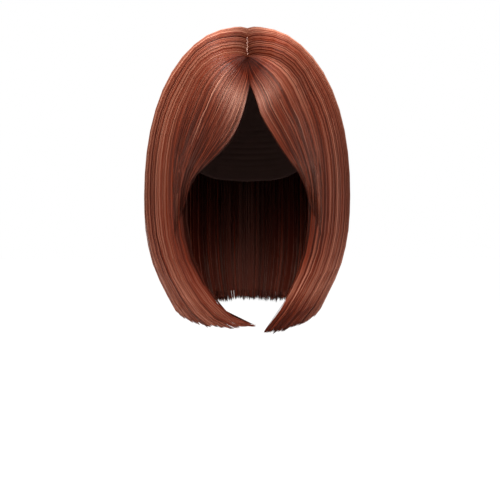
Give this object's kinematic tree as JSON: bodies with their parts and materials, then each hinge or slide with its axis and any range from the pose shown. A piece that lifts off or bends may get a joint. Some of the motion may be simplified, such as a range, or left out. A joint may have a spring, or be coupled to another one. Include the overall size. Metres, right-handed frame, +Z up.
{
  "type": "straight bob wig",
  "caption": "Straight auburn bob wig with a centre part, a fringe swept to both sides and ends turned in under the chin, on a net cap open for the head.",
  "frame": {"origin": "inside of the cap at its top, where the crown of the head seats", "axes": "+Z up, the open face side looks along -Y, +X is the wearer's left"},
  "size_m": [0.211, 0.2182, 0.3116],
  "materials": {
    "hair": "silky straight auburn fibre",
    "cap_net": "matt stretch net with rows of weft",
    "part_skin": "matt skin-coloured cloth"
  },
  "bodies": {
    "root": {"cap": "cap_net", "part_strip": "part_skin", "fringe_right": "hair", "fringe_left": "hair", "side_right": "hair", "side_left": "hair", "back": "hair"}
  },
  "joints": []
}
